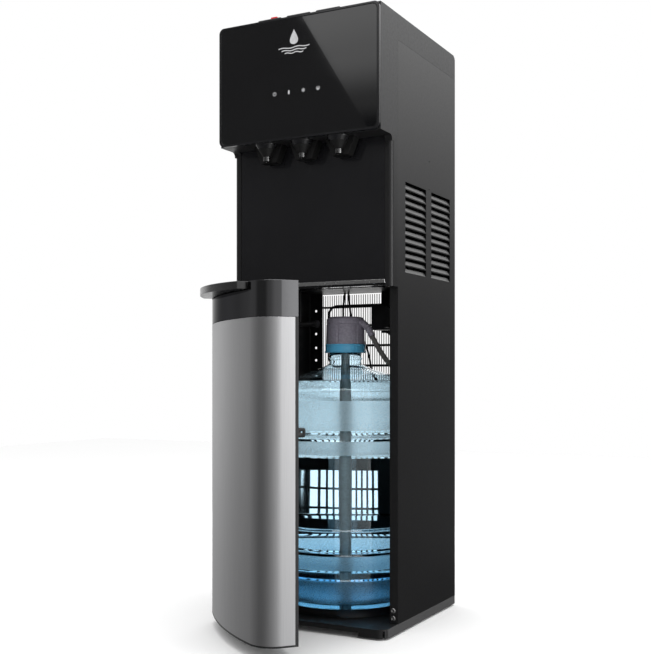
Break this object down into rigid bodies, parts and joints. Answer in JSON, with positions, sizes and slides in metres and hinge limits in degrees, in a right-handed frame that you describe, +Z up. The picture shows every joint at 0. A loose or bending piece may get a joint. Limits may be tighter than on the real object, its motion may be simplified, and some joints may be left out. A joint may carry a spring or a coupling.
{
  "type": "bottom-loading water dispenser",
  "caption": "Floor-standing water dispenser: push-button spouts over an alcove, a hinged compartment door with a lift-out drip tray, and a water bottle with a suction probe inside.",
  "frame": {"origin": "on the floor under the middle of the cabinet's footprint, without the head and door", "axes": "+Z up, +X to the user's right, -Y out of the front towards the user"},
  "size_m": [0.3316, 0.5193, 1.048],
  "materials": {
    "painted_black": "satin powder coat",
    "satin_black": "satin moulded plastic",
    "gloss_black": "polished plastic",
    "black_glass": "polished tinted glass",
    "brushed_steel": "upright brushed grain",
    "bright_trim": "satin chrome",
    "clear_lens": "clear moulded lens",
    "tank_steel": "rolled stainless sheet",
    "copper": "drawn copper",
    "foam": "expanded foam",
    "board": "circuit board",
    "compressor_black": "gloss enamel",
    "condenser_black": "dipped paint",
    "rubber": "moulded rubber",
    "silicone": "translucent silicone",
    "bottle_blue": "clear blue moulded plastic",
    "water": "clear water",
    "collar_blue": "moulded plastic",
    "cap_mauve": "moulded plastic",
    "pipe_grey": "drawn tube",
    "hose_grey": "soft hose",
    "cable_black": "soft sheath",
    "lock_red": "moulded plastic",
    "rocker": "moulded plastic",
    "zinc": "zinc plate"
  },
  "bodies": {
    "cabinet": {"side_panel_left": "painted_black", "side_panel_right": "painted_black", "rear_frame": "painted_black", "rear_cover": "painted_black", "front_posts": "painted_black", "compressor_shelf": "painted_black", "pump_bracket": "painted_black", "top_cover": "satin_black", "head_shell": "satin_black", "alcove_columns": "satin_black", "base_plinth": "satin_black", "spout_hot": "satin_black", "spout_cold": "satin_black", "spout_room": "satin_black", "switch_plate": "satin_black", "rear_fittings": "satin_black", "pump": "satin_black", "probe_hanger": "satin_black", "head_bezel": "gloss_black", "alcove_panel": "gloss_black", "compartment_header": "gloss_black", "glass_panel": "black_glass", "alcove_sill": "bright_trim", "nozzle_rings": "bright_trim", "night_light_lens": "clear_lens", "cold_tank": "tank_steel", "hot_tank": "tank_steel", "evaporator_coil": "copper", "tank_foam": "foam", "control_board": "board", "compressor": "compressor_black", "condenser_tube": "condenser_black", "condenser_wires": "condenser_black", "feet": "rubber", "compressor_grommets": "rubber", "water_lines": "silicone", "bottle": "bottle_blue", "bottle_water": "water", "probe_collar": "collar_blue", "probe_cap": "cap_mauve", "probe_elbow": "cap_mauve", "probe_pipe": "pipe_grey", "probe_hose": "hose_grey", "sensor_cable": "cable_black", "pump_cable": "cable_black", "cabinet_screws": "zinc"},
    "door": {"door_skin": "brushed_steel", "door_liner": "satin_black", "door_cap": "gloss_black", "door_hinge_pins": "zinc"},
    "drip_tray": {"drip_tray": "gloss_black"},
    "drip_grille": {"drip_grille": "satin_black"},
    "button_hot": {"button_hot": "satin_black"},
    "button_cold": {"button_cold": "satin_black"},
    "button_room": {"button_room": "satin_black"},
    "child_lock": {"child_lock": "lock_red"},
    "switch_night_light": {"switch_night_light": "rocker"},
    "switch_heating": {"switch_heating": "rocker"},
    "switch_cooling": {"switch_cooling": "rocker"},
    "drain_plug": {"drain_plug": "satin_black"}
  },
  "joints": [
    {"name": "door_hinge", "type": "hinge", "parent": "cabinet", "child": "door", "pos_m": [-0.15, -0.14, 0.3], "axis": [0, 0, -1], "range_deg": [-41.5, 70]},
    {"name": "tray_lift", "type": "slide", "parent": "door", "child": "drip_tray", "axis": [0, 0, 1], "range_m": [0, 0.06]},
    {"name": "grille_lift", "type": "slide", "parent": "drip_tray", "child": "drip_grille", "axis": [0, 0, 1], "range_m": [0, 0.04]},
    {"name": "hot_press", "type": "slide", "parent": "cabinet", "child": "button_hot", "axis": [0, 0, -1], "range_m": [0, 0.004], "stiffness_N_per_m": 600, "springref_m": -0.002},
    {"name": "cold_press", "type": "slide", "parent": "cabinet", "child": "button_cold", "axis": [0, 0, -1], "range_m": [0, 0.004], "stiffness_N_per_m": 600, "springref_m": -0.002},
    {"name": "room_press", "type": "slide", "parent": "cabinet", "child": "button_room", "axis": [0, 0, -1], "range_m": [0, 0.004], "stiffness_N_per_m": 600, "springref_m": -0.002},
    {"name": "child_lock_slide", "type": "slide", "parent": "button_hot", "child": "child_lock", "axis": [0, 1, 0], "range_m": [0, 0.004], "stiffness_N_per_m": 200, "springref_m": -0.002},
    {"name": "night_light_rocker", "type": "hinge", "parent": "cabinet", "child": "switch_night_light", "pos_m": [-0.1, 0.131, 0.92], "axis": [1, 0, 0], "range_deg": [0, 16]},
    {"name": "heating_rocker", "type": "hinge", "parent": "cabinet", "child": "switch_heating", "pos_m": [-0.075, 0.131, 0.92], "axis": [1, 0, 0], "range_deg": [0, 16]},
    {"name": "cooling_rocker", "type": "hinge", "parent": "cabinet", "child": "switch_cooling", "pos_m": [-0.05, 0.131, 0.92], "axis": [1, 0, 0], "range_deg": [0, 16]},
    {"name": "drain_plug_pull", "type": "slide", "parent": "cabinet", "child": "drain_plug", "axis": [0, 1, 0], "range_m": [0, 0.03]}
  ]
}
